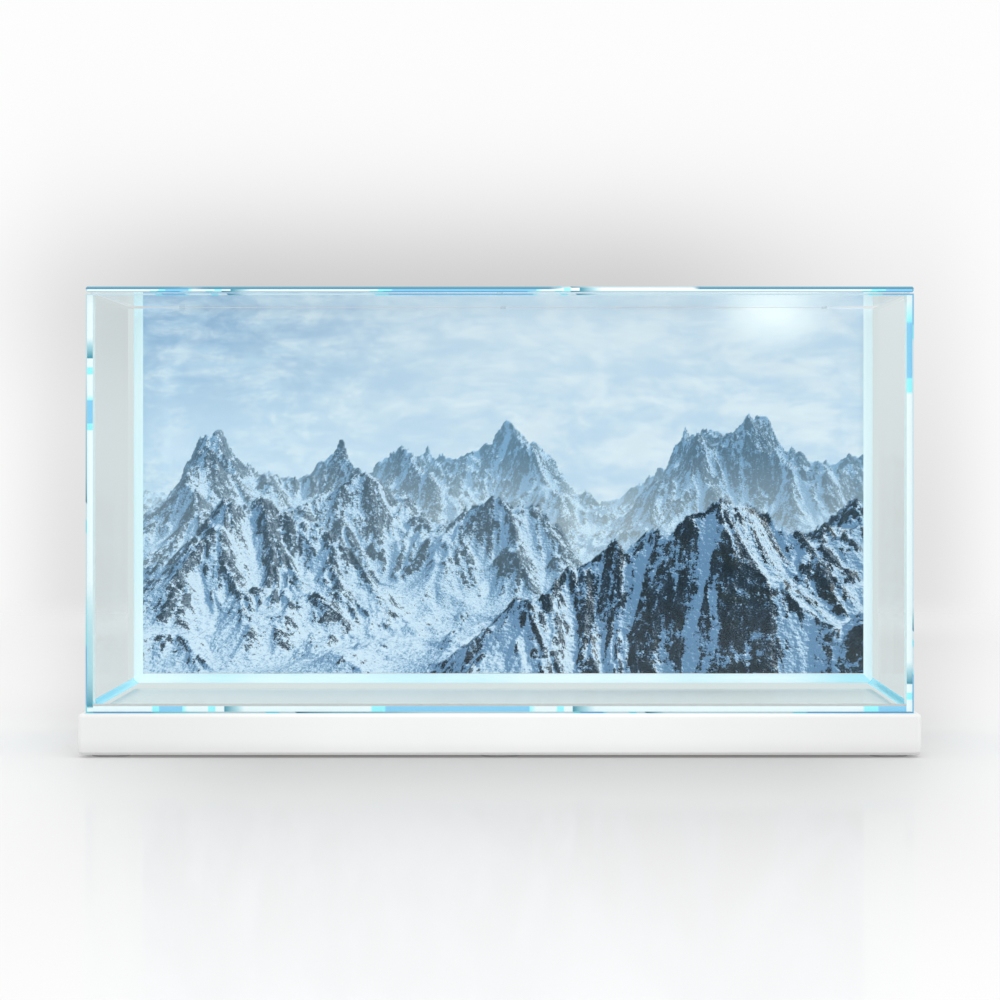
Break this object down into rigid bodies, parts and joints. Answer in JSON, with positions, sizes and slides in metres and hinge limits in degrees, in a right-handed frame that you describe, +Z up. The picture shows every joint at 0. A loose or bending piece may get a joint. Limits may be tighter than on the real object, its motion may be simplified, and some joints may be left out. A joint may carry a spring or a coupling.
{
  "type": "aquarium on stand",
  "caption": "Rectangular glass tank with silicone seams, a lift-off cover glass and a printed background on its rear pane, standing on a low white plinth with rubber pads.",
  "frame": {"origin": "centre of the footprint on the surface that the rubber pads stand on", "axes": "+X to the right along the length, +Y to the back, +Z up; the front pane faces -Y"},
  "size_m": [0.61, 0.31, 0.341],
  "materials": {
    "tank_glass": "clear float glass",
    "cover_glass": "clear, polished edge",
    "silicone": "clear glossy silicone",
    "clear_bumper": "clear, soft",
    "printed_film": "printed film",
    "clear_tape": "clear tape",
    "white_lacquer": "white satin lacquer",
    "bare_board": "bare fibreboard",
    "bare_wood": "bare planed softwood",
    "foam": "closed-cell foam",
    "pad_rubber": "matt grey rubber",
    "zinc_steel": "zinc plated"
  },
  "bodies": {
    "stand": {"rail_front": "white_lacquer", "rail_back": "white_lacquer", "rail_left": "white_lacquer", "rail_right": "white_lacquer", "deck_board": "bare_board", "rib_left": "bare_wood", "rib_middle": "bare_wood", "rib_right": "bare_wood", "corner_blocks": "bare_wood", "foam_mat": "foam", "foot_pads": "pad_rubber", "deck_screws": "zinc_steel", "block_screws": "zinc_steel"},
    "tank": {"pane_front": "tank_glass", "pane_back": "tank_glass", "pane_left": "tank_glass", "pane_right": "tank_glass", "pane_base": "tank_glass", "seam_floor_front": "silicone", "seam_floor_back": "silicone", "seam_floor_left": "silicone", "seam_floor_right": "silicone", "seam_front_left": "silicone", "seam_front_right": "silicone", "seam_back_left": "silicone", "seam_back_right": "silicone", "background_film": "printed_film", "film_tapes": "clear_tape"},
    "cover": {"cover_glass": "cover_glass", "cover_bumpers": "clear_bumper"}
  },
  "joints": [
    {"name": "tank_lift", "type": "slide", "parent": "stand", "child": "tank", "axis": [0, 0, 1], "range_m": [0, 0.15]},
    {"name": "cover_lift", "type": "slide", "parent": "tank", "child": "cover", "axis": [0, 0, 1], "range_m": [0, 0.3]}
  ]
}
